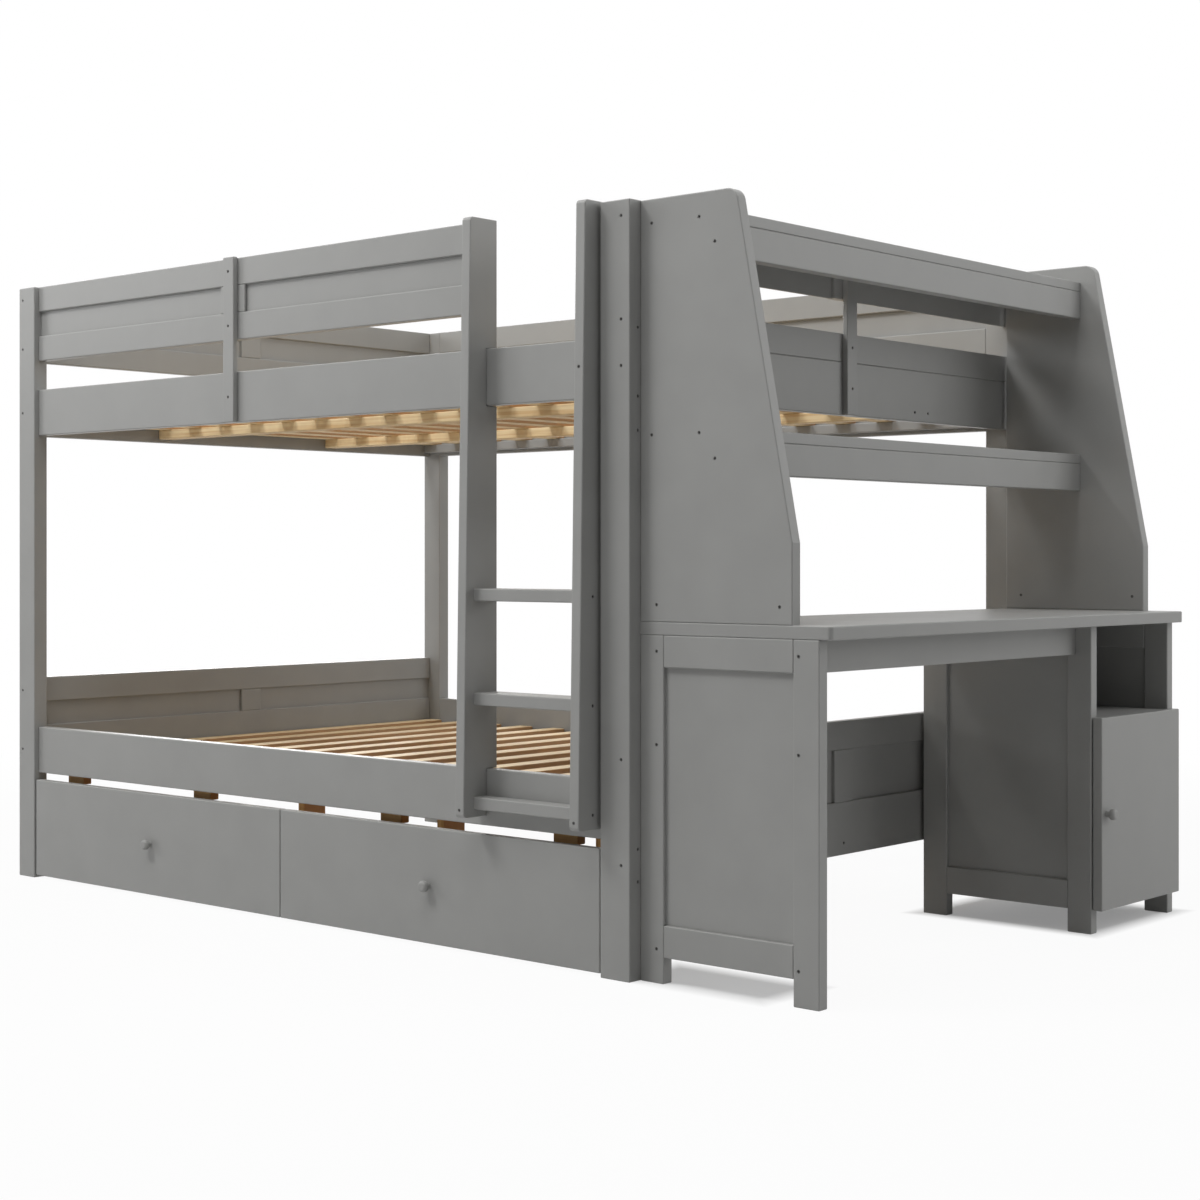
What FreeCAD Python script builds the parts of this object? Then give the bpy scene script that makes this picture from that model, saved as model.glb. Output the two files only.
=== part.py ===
import FreeCAD, Part
import Sketcher
import os
import re

# Full-size bunk bed with a ladder, two rolling drawers and a desk with a hutch and a cabinet at one end.
# Frame: millimetres, +Z up, the ladder side faces -Y and the desk stands at the +X end. The origin is on
# the floor, at the middle of the whole object's footprint.

SIZES = {
    # bed frame
    "bed_length": 2035,
    "bed_width": 1462,
    "post_height": 1488,
    "left_post_width": 66,
    "right_post_width": 74,
    "post_depth": 38,
    "rail_setback": 13,
    "rail_height": 115,
    "upper_rail_drop": 374,
    "lower_rail_base": 264,
    "guard_rail_height": 62,
    "guard_opening": 62,
    "end_rail_thickness": 22,
    "left_end_recess": 2.5,
    "right_end_recess": 13,
    "headboard_opening": 60,
    "footboard_rail_base": 163,
    "footboard_opening": 113,
    "end_stile_width": 68,
    "panel_thickness": 6,
    "panel_recess": 7,
    "panel_groove": 6,
    "panel_clearance": 0.2,
    "baluster_width": 38,
    "baluster_rise": 2,
    "front_baluster_shift": 8,
    "guard_stile_width": 86,
    "right_baluster_shift": 14,
    "edge_round": 2.5,
    # slats and what carries them
    "ledger_rise": 9,
    "ledger_width": 24,
    "ledger_height": 24,
    "beam_width": 45,
    "upper_beam_inset": 437,
    "lower_beam_inset": 536,
    "slat_count": 16,
    "slat_width": 50,
    "slat_thickness": 18,
    "slat_pitch": 125.4,
    "slat_first_gap": 4.5,
    "slat_end_gap": 2,
    "beam_leg_width": 24,
    "beam_leg_depth": 72,
    "beam_leg_pitch": 507.5,
    "block_width": 65,
    "block_height": 31,
    "block_inner_pitch": 642,
    "block_outer_pitch": 1646,
    # ladder
    "ladder_start": 1621,
    "ladder_clear_width": 284,
    "stile_thickness": 24,
    "stile_top_projection": 34,
    "stile_foot_projection": 54,
    "stile_back": 43,
    "stile_foot_rise": 20,
    "stile_rise": 4,
    "stile_corner_round": 9,
    "stile_clearance": 0.3,
    "step_projection": 24,
    "step_thickness": 25,
    "step_pitch": 209.5,
    "low_step_rise": 16,
    "step_housing_depth": 6,
    # drawers
    "drawer_rail_gap": 17,
    "drawer_front_thickness": 20,
    "drawer_front_setback": 3,
    "drawer_floor_gap": 7,
    "drawer_post_gap": 4,
    "drawer_split_gap": 2,
    "drawer_box_inset": 24,
    "drawer_box_base": 14,
    "drawer_box_height": 144,
    "drawer_box_depth": 455,
    "drawer_side_thickness": 15,
    "drawer_bottom_base": 52,
    "drawer_bottom_thickness": 8,
    "wheel_diameter": 44,
    "wheel_width": 16,
    "wheel_round": 3,
    "wheel_inset": 70,
    "wheel_side_gap": 0.5,
    "wheel_running_gap": 0.05,
    "axle_diameter": 8,
    "axle_head_diameter": 16,
    "axle_head_thickness": 3,
    "axle_seat_gap": 0.05,
    "knob_diameter": 24,
    "knob_head_thickness": 15,
    "knob_stem_diameter": 13,
    "knob_projection": 22,
    "knob_round": 6,
    # desk
    "desk_setback": 32,
    "desk_back_inset": 42,
    "desk_height": 684.5,
    "desk_top_depth": 441,
    "desk_top_thickness": 25,
    "desk_corner_round": 9,
    "desk_frame_depth": 415,
    "desk_frame_thickness": 26,
    "desk_leg_width": 57,
    "cabinet_leg_reach": 5,
    "desk_rail_base": 50,
    "desk_rail_height": 61,
    "desk_panel_recess": 8,
    "apron_setback": 36,
    "apron_height": 62,
    "apron_thickness": 20,
    # cabinet under the desk
    "cabinet_width": 385,
    "cubby_floor": 464,
    "cabinet_board_thickness": 20,
    "cabinet_back_thickness": 6,
    "door_thickness": 22,
    "door_gap": 2,
    "door_base": 51,
    "door_near_inset": 3,
    "door_far_inset": 16,
    "door_knob_inset": 23,
    "hinge_height": 54,
    "hinge_inset": 60,
    "hinge_leaf_thickness": 0.8,
    "hinge_leaf_width": 8,
    "hinge_knuckle_diameter": 6.4,
    "hinge_pin_diameter": 3,
    "hinge_pin_gap": 0.05,
    "hinge_clearance": 0.3,
    # hutch on the desk
    "hutch_drop": 1,
    "hutch_base_depth": 356,
    "hutch_top_depth": 229,
    "hutch_straight_height": 148.5,
    "hutch_corner_round": 26,
    "shelf_depth": 197,
    "shelf_thickness": 22,
    "upper_shelf_drop": 38,
    "lower_shelf_rise": 362.5,
    "shelf_apron_height": 63,
    "shelf_apron_thickness": 26,
    # socket-head screws that show on the faces
    "screw_diameter": 7,
    "screw_length": 10,
    "screw_recess": 0.8,
    "screw_clearance": 0.1,
    "screw_socket_width": 4,
    "screw_socket_depth": 3,
    "left_post_screw_inset": 16,
    "right_post_screw_inset": 21,
    "post_side_screw_inset": 13,
    "beam_screw_inset": 422,
    "beam_screw_pitch": 55,
    "end_screw_foot": 189,
    "end_screw_low": 251,
    "end_screw_middle": 1049,
    "end_screw_high": 1114,
    "end_screw_top": 1245,
    "desk_back_screw_inset": 40,
    "desk_front_screw_inset": 45,
    "shelf_back_screw_inset": 28,
    "shelf_front_screw_inset": 143,
    "shelf_screw_drop": 8,
    "shelf_apron_screw_inset": 180,
    "shelf_apron_screw_drop": 57,
    "hutch_foot_screw_rise": 32.5,
}

# Lines and lengths that several pieces share, worked out from the sizes.
LINES = {
    "x_left": "-(bed_length + desk_frame_depth + door_gap + door_thickness + knob_projection) / 2",
    "x_right": "x_left + bed_length",
    "y_front": "(stile_foot_projection - bed_width) / 2",
    "y_back": "y_front + bed_width",
    "x_rail": "x_left + left_post_width",
    "rail_length": "bed_length - left_post_width - right_post_width",
    "rail_thickness": "post_depth - rail_setback",
    "x_rail_middle": "x_rail + rail_length / 2",
    "y_rail": "y_front + rail_setback",
    "y_inner": "y_front + post_depth",
    "inner_width": "bed_width - 2 * post_depth",
    "y_back_rail": "y_back - post_depth",
    "x_left_end": "x_left + left_end_recess",
    "x_inner": "x_left_end + end_rail_thickness",
    "x_right_end": "x_right - right_end_recess - end_rail_thickness",
    "inner_length": "x_right_end - x_inner",
    "upper_rail_base": "post_height - upper_rail_drop",
    "z_upper_rail_top": "upper_rail_base + rail_height",
    "z_guard_top": "post_height - guard_rail_height",
    "z_guard_panel": "z_guard_top - guard_opening",
    "z_guard_low": "z_guard_panel - guard_rail_height",
    "z_headboard_panel": "lower_rail_base + rail_height",
    "z_headboard_rail": "z_headboard_panel + headboard_opening",
    "z_footboard_panel": "footboard_rail_base + rail_height",
    "z_footboard_rail": "z_footboard_panel + footboard_opening",
    "end_half": "(inner_width - end_stile_width) / 2",
    "y_stile": "y_inner + end_half",
    "end_panel_recess": "(end_rail_thickness - panel_thickness) / 2",
    "z_upper_ledger": "upper_rail_base + ledger_rise",
    "z_lower_ledger": "lower_rail_base + ledger_rise",
    "x_ladder": "x_left + ladder_start",
    "x_steps": "x_ladder + stile_thickness",
    "x_ladder_right": "x_steps + ladder_clear_width",
    "guard_length": "ladder_start - left_post_width",
    "stile_foot_height": "lower_rail_base + stile_foot_rise",
    "stile_foot_depth": "stile_foot_projection + rail_setback - stile_clearance",
    "stile_depth": "stile_foot_projection + stile_back",
    "y_desk": "y_front + desk_setback",
    "desk_width": "bed_width - desk_setback - desk_back_inset",
    "x_leg_front": "x_right + desk_frame_depth",
    "x_front_leg": "x_leg_front - desk_leg_width",
    "x_desk_rail": "x_right + desk_leg_width",
    "desk_rail_length": "desk_frame_depth - 2 * desk_leg_width",
    "z_desk": "desk_height - desk_top_thickness",
    "z_desk_rail": "z_desk - desk_rail_height",
    "y_cabinet": "y_desk + desk_width - cabinet_width",
    "y_far_frame": "y_desk + desk_width - desk_frame_thickness",
    "y_cabinet_inner": "y_cabinet + desk_frame_thickness",
    "cabinet_inner_width": "cabinet_width - 2 * desk_frame_thickness",
    "desk_inner_width": "desk_width - 2 * desk_frame_thickness",
    "x_door": "x_leg_front + door_gap",
    "y_door": "y_cabinet + door_near_inset",
    "door_width": "cabinet_width - door_near_inset - door_far_inset",
    "door_height": "cubby_floor - door_base",
    "x_pin": "x_leg_front + hinge_clearance / 2 + hinge_knuckle_diameter / 2",
    "y_pin": "y_door + door_width + hinge_clearance + hinge_knuckle_diameter / 2",
    "hutch_height": "post_height - desk_height - hutch_drop",
    "upper_shelf_rise": "hutch_height - upper_shelf_drop",
    "x_shelf_apron": "x_right + shelf_depth - shelf_apron_thickness",
    "drawer_width": "(rail_length - 2 * drawer_post_gap - drawer_split_gap) / 2",
    "drawer_front_height": "lower_rail_base - drawer_floor_gap - drawer_rail_gap",
    "y_drawer": "y_front + drawer_front_setback",
    "y_drawer_box": "y_drawer + drawer_front_thickness",
    "drawer_box_width": "drawer_width - 2 * drawer_box_inset",
    "drawer_clear_width": "drawer_box_width - 2 * drawer_side_thickness",
}

doc = FreeCAD.newDocument("bunk_bed")
sheet = doc.addObject("Spreadsheet::Sheet", "sizes")
for row, (alias, value) in enumerate(SIZES.items(), start=1):
    sheet.set(f"A{row}", alias)
    sheet.set(f"B{row}", str(value))
    sheet.setAlias(f"B{row}", alias)
doc.recompute()

nodes = []
WORD = re.compile(r"[a-z_]+[a-z]")


def formula(text):
    """Write out a formula in the sheet's cells, with every shared line in brackets."""
    def cell(match):
        word = match.group()
        return f"({formula(LINES[word])})" if word in LINES else f"sizes.{word}"
    return WORD.sub(cell, text)


def bind(obj, **properties):
    """Tie properties of an object to formulas of the sheet."""
    for name, text in properties.items():
        obj.setExpression(name.replace("__", "."), formula(text))
    return obj


def place(obj, at):
    """Tie an object's position to three formulas."""
    x, y, z = at
    return bind(obj, Placement__Base__x=x, Placement__Base__y=y, Placement__Base__z=z)


def node(obj, label):
    """Name an object as a finished sub-part."""
    obj.Label = label
    nodes.append(obj)
    return obj


def group(label, members):
    """Like pieces that share one sub-part, each its own solid."""
    compound = doc.addObject("Part::Compound", label)
    compound.Links = members
    return node(compound, label)


def block(name, at, size):
    """A square-edged bar: its corner and its sizes along X, Y and Z."""
    box = doc.addObject("Part::Box", name)
    bind(box, Length=size[0], Width=size[1], Height=size[2])
    return place(box, at)


def rounded(name, base, radius, pick=lambda edge: True):
    """Round the edges of a solid that a test picks."""
    doc.recompute()
    fillet = doc.addObject("Part::Fillet", name)
    fillet.Base = base
    fillet.Edges = [(i, radius, radius) for i, edge in enumerate(base.Shape.Edges, start=1) if pick(edge)]
    return fillet


def board(name, at, size):
    """A planed board with all its edges eased."""
    return rounded(name, block(name + "_blank", at, size), sheet.edge_round)


def rod(name, at, direction, diameter, length):
    """A round bar that starts at a point and runs along X, Y, Z or against one of them."""
    cylinder = doc.addObject("Part::Cylinder", name)
    bind(cylinder, Radius=f"({diameter}) / 2", Height=length)
    turn = FreeCAD.Rotation(FreeCAD.Vector(0, 0, 1), FreeCAD.Vector(*direction))
    cylinder.Placement = FreeCAD.Placement(FreeCAD.Vector(), turn)
    return place(cylinder, at)


def cut(name, base, tools):
    """Take several tools out of a solid."""
    result = doc.addObject("Part::Cut", name)
    result.Base = base
    result.Tool = tools[0]
    if len(tools) > 1:
        result.Tool = doc.addObject("Part::Compound", name + "_tools")
        result.Tool.Links = tools
    return result


def joined(name, pieces):
    """Fuse several solids that are one piece of material."""
    fusion = doc.addObject("Part::MultiFuse", name)
    fusion.Shapes = pieces
    return fusion


def profile(name, plane, points, thickness):
    """A body padded from a closed outline: each corner is a pair of formulas on the plane."""
    body = doc.addObject("PartDesign::Body", name)
    sketch = body.newObject("Sketcher::SketchObject", name + "_outline")
    face = next(f for f in body.Origin.OriginFeatures if f.Role == plane)
    sketch.AttachmentSupport = (face, [""])
    sketch.MapMode = "FlatFace"
    corners = [FreeCAD.Vector(value_of(u), value_of(v), 0) for u, v in points]
    count = len(corners)
    for i in range(count):
        sketch.addGeometry(Part.LineSegment(corners[i], corners[(i + 1) % count]))
    for i in range(count):
        sketch.addConstraint(Sketcher.Constraint("Coincident", i, 2, (i + 1) % count, 1))
        for axis, text, value in zip("XY", points[i], (corners[i].x, corners[i].y)):
            index = sketch.addConstraint(Sketcher.Constraint("Distance" + axis, -1, 1, i, 1, value))
            sketch.setExpression(f"Constraints[{index}]", formula(text))
    pad = body.newObject("PartDesign::Pad", name + "_pad")
    pad.Profile = sketch
    bind(pad, Length=thickness)
    body.Tip = pad
    return body


def value_of(text):
    """The present value of a formula."""
    return float(sheet.evalExpression(formula(text).replace("sizes.", "")))


def flat_in(axis):
    """A test for edges that lie in a plane across the named axis."""
    def test(edge):
        box = edge.BoundBox
        return {"x": box.XLength, "y": box.YLength, "z": box.ZLength}[axis] < 1e-6
    return test


screws = []


def screw(name, at, direction):
    """A screw sunk a little under a face, and the hole for it, driven along the given direction."""
    sunk = [f"{text} + {step} * screw_recess" for text, step in zip(at, direction)]
    shank = rod(name + "_shank", sunk, direction, "screw_diameter", "screw_length")
    socket = doc.addObject("Part::Prism", name + "_socket")
    socket.Polygon = 6
    bind(socket, Circumradius="screw_socket_width / 2", Height="screw_socket_depth")
    socket.Placement = shank.Placement
    place(socket, sunk)
    screws.append(cut(name, shank, [socket]))
    outside = [f"{text} - {step} * screw_recess" for text, step in zip(at, direction)]
    return rod(name + "_hole", outside, direction, "screw_diameter + 2 * screw_clearance",
               "2 * screw_recess + screw_length")


def screw_row(name, points, direction):
    """Screws of one row and their holes."""
    return [screw(f"{name}_{i}", at, direction) for i, at in enumerate(points, start=1)]


INTO_FRONT = (0, 1, 0)
INTO_BACK = (0, -1, 0)
INTO_END = (-1, 0, 0)
HALF_RAIL = "rail_height / 2"
HALF_GUARD = "guard_rail_height / 2"

# Heights of the end boards' middles, where the screws through the posts go in.
LEFT_END_HEIGHTS = [
    f"z_guard_top + {HALF_GUARD}",
    f"z_guard_low + {HALF_GUARD}",
    f"upper_rail_base + {HALF_RAIL}",
    f"z_headboard_rail + {HALF_GUARD}",
    f"lower_rail_base + {HALF_RAIL}",
]
RIGHT_END_HEIGHTS = [
    f"z_guard_top + {HALF_GUARD}",
    f"z_upper_rail_top + {HALF_GUARD}",
    f"upper_rail_base + {HALF_RAIL}",
    f"z_footboard_rail + {HALF_GUARD}",
    f"footboard_rail_base + {HALF_RAIL}",
]

# Four posts. Screws through their faces hold the end boards, and the right posts have more in their ends.
END_SCREW_HEIGHTS = ("end_screw_foot", "end_screw_low", "end_screw_middle", "end_screw_high", "end_screw_top")
for side, y_face, direction in (("front", "y_front", INTO_FRONT), ("back", "y_back", INTO_BACK)):
    y_post = "y_front" if side == "front" else "y_back - post_depth"
    y_end_screw = f"{y_face} + {direction[1]} * (post_depth - post_side_screw_inset)"
    for hand, x_post, width, x_screw, heights in (
        ("left", "x_left", "left_post_width", "x_left + left_post_screw_inset", LEFT_END_HEIGHTS),
        ("right", "x_right - right_post_width", "right_post_width", "x_right - right_post_screw_inset",
         RIGHT_END_HEIGHTS),
    ):
        name = f"{side}_{hand}_post"
        holes = screw_row(name + "_screw", [(x_screw, y_face, z) for z in heights], direction)
        if hand == "right":
            holes += screw_row(name + "_end_screw", [("x_right", y_end_screw, z) for z in END_SCREW_HEIGHTS],
                               INTO_END)
        post = board(name + "_plain", (x_post, y_post, "0"), (width, "post_depth", "post_height"))
        node(cut(name, post, holes), name)

# Long side rails of both bunks, front and back.
for side, y in (("front", "y_rail"), ("back", "y_back_rail")):
    for level in ("upper", "lower"):
        name = f"{side}_{level}_rail"
        node(board(name, ("x_rail", y, f"{level}_rail_base"),
                   ("rail_length", "rail_thickness", "rail_height")), name)

# Long guards: a thin panel in the grooves of a top rail and a lower rail. The front guard stops at the
# ladder.
GROOVE_WIDTH = "panel_thickness + 2 * panel_clearance"
PANEL_REACH = "panel_groove - panel_clearance"
for side, y, y_panel, length in (
    ("front", "y_rail", "y_rail + panel_recess", "guard_length"),
    ("back", "y_back_rail", "y_back_rail + rail_thickness - panel_recess - panel_thickness", "rail_length"),
):
    y_groove = f"{y_panel} - panel_clearance"
    for part, z, z_groove in (
        ("top", "z_guard_top", "z_guard_top"),
        ("lower", "z_guard_low", "z_guard_panel - panel_groove"),
    ):
        name = f"{side}_guard_{part}_rail"
        rail = board(name + "_plain", ("x_rail", y, z), (length, "rail_thickness", "guard_rail_height"))
        groove = block(name + "_groove", ("x_rail", y_groove, z_groove),
                       (length, GROOVE_WIDTH, "panel_groove"))
        node(cut(name, rail, [groove]), name)
    name = f"{side}_guard_panel"
    node(block(name, ("x_rail + panel_clearance", y_panel, "z_guard_panel - panel_groove + panel_clearance"),
               (f"{length} - 2 * panel_clearance", "panel_thickness",
                "guard_opening + 2 * (panel_groove - panel_clearance)")), name)

# Balusters tie each guard to the rail under it, on the outer face. Behind each long guard's baluster a thin
# stile fills the space in front of the panel.
x_front_baluster = "x_rail + (guard_length - baluster_width) / 2 - front_baluster_shift"
x_back_baluster = "x_rail_middle - baluster_width / 2"
y_right_baluster = "y_inner + inner_width / 2 + right_baluster_shift - baluster_width / 2"
baluster_height = "post_height + baluster_rise - upper_rail_base"
balusters = []
for name, at, size, x_screw, y_screw, direction, heights in (
    ("front_baluster", (x_front_baluster, "y_front", "upper_rail_base"),
     ("baluster_width", "rail_setback", baluster_height),
     f"{x_front_baluster} + baluster_width / 2", "y_front", INTO_FRONT, LEFT_END_HEIGHTS[:3]),
    ("back_baluster", (x_back_baluster, "y_back - rail_setback", "upper_rail_base"),
     ("baluster_width", "rail_setback", baluster_height), "x_rail_middle", "y_back", INTO_BACK,
     LEFT_END_HEIGHTS[:3]),
    ("right_baluster", ("x_right - right_end_recess", y_right_baluster, "upper_rail_base"),
     ("right_end_recess", "baluster_width", "post_height - upper_rail_base"),
     "x_right", f"{y_right_baluster} + baluster_width / 2", INTO_END, RIGHT_END_HEIGHTS[:3]),
):
    holes = screw_row(name + "_screw", [(x_screw, y_screw, z) for z in heights], direction)
    balusters.append(cut(name, board(name + "_plain", at, size), holes))
for side, x_middle, y in (
    ("front", f"{x_front_baluster} + baluster_width / 2", "y_rail"),
    ("back", "x_rail_middle", "y_back - rail_setback - panel_recess"),
):
    balusters.append(board(f"{side}_guard_stile", (f"{x_middle} - guard_stile_width / 2", y, "z_guard_panel"),
                           ("guard_stile_width", "panel_recess", "guard_opening")))
group("guard_balusters", balusters)

# Ends of the bed: boards from post to post, grooved where panels stand between them, and a middle stile.
end_stiles = []
end_panels = []


def end_board(name, x, z, height, z_groove=None, holes=()):
    """A board across one end of the bed, with a panel groove at a height and screw holes."""
    plain = board(name + "_plain", (x, "y_inner", z), ("end_rail_thickness", "inner_width", height))
    tools = list(holes)
    if z_groove:
        x_groove = f"{x} + end_panel_recess - panel_clearance"
        tools.append(block(name + "_groove", (x_groove, "y_inner", z_groove),
                           (GROOVE_WIDTH, "inner_width", "panel_groove")))
    return cut(name, plain, tools) if tools else plain


def end_panel_pair(name, x, z, opening, low=PANEL_REACH):
    """Two panels beside a middle stile, in the groove of the board above and, mostly, of the one below."""
    end_stiles.append(board(name + "_stile", (x, "y_stile", z),
                            ("end_rail_thickness", "end_stile_width", opening)))
    for hand, y in (("near", "y_inner"), ("far", "y_stile + end_stile_width")):
        end_panels.append(block(
            f"{name}_{hand}_panel",
            (f"{x} + end_panel_recess", f"{y} + panel_clearance", f"{z} - ({low})"),
            ("panel_thickness", "end_half - 2 * panel_clearance", f"{opening} + ({low}) + ({PANEL_REACH})")))


x_right_face = "x_right - right_end_recess"
beam_screws = screw_row("beam_screw", [
    (x_right_face, f"{y_middle} + {step} * beam_screw_pitch / 2", "z_upper_ledger + ledger_height / 2")
    for y_middle in ("y_front + beam_screw_inset", "y_back - beam_screw_inset") for step in (-1, 1)
], INTO_END)
foot_screw = screw("foot_screw", (x_right_face, "y_inner + inner_width / 2", "end_screw_foot"), INTO_END)
group("left_end_rails", [
    end_board("left_end_upper_rail", "x_left_end", "upper_rail_base", "rail_height"),
    end_board("left_end_lower_rail", "x_left_end", "lower_rail_base", "rail_height",
              "z_headboard_panel - panel_groove"),
])
group("left_guard_rails", [
    end_board("left_guard_top_rail", "x_left_end", "z_guard_top", "guard_rail_height", "z_guard_top"),
    end_board("left_guard_lower_rail", "x_left_end", "z_guard_low", "guard_rail_height",
              "z_guard_panel - panel_groove"),
])
group("right_end_rails", [
    end_board("right_end_upper_rail", "x_right_end", "upper_rail_base", "rail_height", holes=beam_screws),
    end_board("right_end_lower_rail", "x_right_end", "footboard_rail_base", "rail_height",
              "z_footboard_panel - panel_groove", [foot_screw]),
])
group("right_guard_rails", [
    end_board("right_guard_top_rail", "x_right_end", "z_guard_top", "guard_rail_height", "z_guard_top"),
    end_board("right_guard_low_board", "x_right_end", "z_upper_rail_top", "guard_rail_height"),
])
group("end_top_rails", [
    end_board("headboard_top_rail", "x_left_end", "z_headboard_rail", "guard_rail_height",
              "z_headboard_rail"),
    end_board("footboard_top_rail", "x_right_end", "z_footboard_rail", "guard_rail_height",
              "z_footboard_rail"),
])
end_panel_pair("left_guard", "x_left_end", "z_guard_panel", "guard_opening")
end_panel_pair("headboard", "x_left_end", "z_headboard_panel", "headboard_opening")
end_panel_pair("right_guard", "x_right_end", "z_guard_panel", "guard_opening", "0")
end_panel_pair("footboard", "x_right_end", "z_footboard_panel", "footboard_opening")
group("end_stiles", end_stiles)
group("end_panels", end_panels)

# Slats of both bunks lie across ledgers on the side rails and across two beams between the ends.
ledgers = []
beams = []
for level in ("upper", "lower"):
    z_ledger = f"z_{level}_ledger"
    for side, y in (("front", "y_inner"), ("back", "y_back_rail - ledger_width")):
        ledgers.append(board(f"{level}_{side}_ledger", ("x_inner", y, z_ledger),
                             ("inner_length", "ledger_width", "ledger_height")))
    for side, y_middle in (
        ("front", f"y_front + {level}_beam_inset"),
        ("back", f"y_back - {level}_beam_inset"),
    ):
        beams.append(board(f"{level}_{side}_beam", ("x_inner", f"{y_middle} - beam_width / 2", z_ledger),
                           ("inner_length", "beam_width", "ledger_height")))
    group(f"{level}_slats", [
        board(f"{level}_slat_{i + 1}",
              (f"x_inner + slat_first_gap + {i} * slat_pitch", "y_inner + slat_end_gap",
               f"{z_ledger} + ledger_height"),
              ("slat_width", "inner_width - 2 * slat_end_gap", "slat_thickness"))
        for i in range(int(sheet.slat_count))
    ])
group("slat_ledgers", ledgers)
group("slat_beams", beams)

# Plank legs stand on the floor under the front lower beam, and short blocks stiffen the lower front ledger.
group("beam_legs", [
    board(f"beam_leg_{i + 2}",
          (f"x_rail_middle + {i} * beam_leg_pitch - beam_leg_width / 2",
           "y_front + lower_beam_inset - beam_leg_depth / 2", "0"),
          ("beam_leg_width", "beam_leg_depth", "z_lower_ledger"))
    for i in (-1, 0, 1)
])
group("ledger_blocks", [
    board(f"ledger_block_{i}",
          (f"x_rail_middle {offset} / 2 - block_width / 2", "y_inner", "z_lower_ledger - block_height"),
          ("block_width", "ledger_width", "block_height"))
    for i, offset in enumerate(("- block_outer_pitch", "- block_inner_pitch", "+ block_inner_pitch",
                                "+ block_outer_pitch"), start=1)
])

# Ladder: two tapered stiles notched over both front rails, and three steps housed in them.
z_low_notch = "lower_rail_base + rail_height + stile_clearance - stile_foot_height"
z_notch_base = "upper_rail_base - stile_clearance - stile_foot_height"
z_notch_top = "upper_rail_base + rail_height + stile_clearance - stile_foot_height"
stile_height = "post_height + stile_rise - stile_foot_height"
STILE_OUTLINE = [
    ("0", "0"),
    ("stile_foot_depth", "0"),
    ("stile_foot_depth", z_low_notch),
    ("stile_depth", z_low_notch),
    ("stile_depth", z_notch_base),
    ("stile_foot_depth", z_notch_base),
    ("stile_foot_depth", z_notch_top),
    ("stile_depth", z_notch_top),
    ("stile_depth", stile_height),
    ("stile_foot_projection - stile_top_projection", stile_height),
]
STEP_HEIGHTS = [f"stile_foot_height + low_step_rise + {i} * step_pitch" for i in (2, 1, 0)]


def front_corner(edge):
    """The corners at the top and the foot of a stile's front edge."""
    box = edge.BoundBox
    ends = (0, value_of(stile_height))
    across = box.XLength > box.YLength + box.ZLength
    at_front = box.YMin < value_of("stile_foot_projection - stile_top_projection") + 1
    return across and at_front and min(abs(box.ZMin - z) for z in ends) < 1


y_foot = "y_front - stile_foot_projection"
ladder_stiles = []
for hand, x, x_housing in (
    ("left", "x_ladder", "x_steps - step_housing_depth"),
    ("right", "x_ladder_right", "x_ladder_right"),
):
    name = f"ladder_{hand}_stile"
    outline = profile(name + "_body", "YZ_Plane", STILE_OUTLINE, "stile_thickness")
    soft = rounded(name + "_round", outline, sheet.stile_corner_round, front_corner)
    eased = rounded(name + "_eased", soft, sheet.edge_round, flat_in("x"))
    place(eased, (x, y_foot, "stile_foot_height"))
    housings = [
        block(f"{name}_housing_{i}", (x_housing, "y_front - step_projection", z),
              ("step_housing_depth", "step_projection + stile_back", "step_thickness"))
        for i, z in enumerate(STEP_HEIGHTS, start=1)
    ]
    x_middle = f"{x} + stile_thickness / 2"
    z_foot_screw = "stile_foot_height + stile_corner_round + screw_diameter"
    holes = [screw(name + "_foot_screw", (x_middle, y_foot, z_foot_screw), INTO_FRONT)]
    if hand == "right":
        z_high = f"upper_rail_base + {HALF_RAIL}"
        projection = ("(stile_foot_projection - (stile_foot_projection - stile_top_projection)"
                      f" * ({z_high} - stile_foot_height) / ({stile_height}))")
        holes.append(screw(name + "_high_screw", (x_middle, f"y_front - {projection}", z_high), INTO_FRONT))
        holes += screw_row(name + "_side_screw", [
            ("x_ladder_right + stile_thickness", "y_front - step_projection / 2", f"{z} + step_thickness / 2")
            for z in STEP_HEIGHTS], INTO_END)
    ladder_stiles.append(cut(name, eased, housings + holes))
group("ladder_stiles", ladder_stiles)

step_reach = "step_housing_depth - stile_clearance"
steps = []
for i, z in enumerate(STEP_HEIGHTS, start=1):
    free_depth = "step_projection + stile_back"
    rail_depth = "step_projection + rail_setback"
    steps.append(board(
        f"ladder_step_{i}", (f"x_steps - ({step_reach})", "y_front - step_projection", z),
        (f"ladder_clear_width + 2 * ({step_reach})", rail_depth if i == 3 else free_depth, "step_thickness")))
group("ladder_steps", steps)

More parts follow.
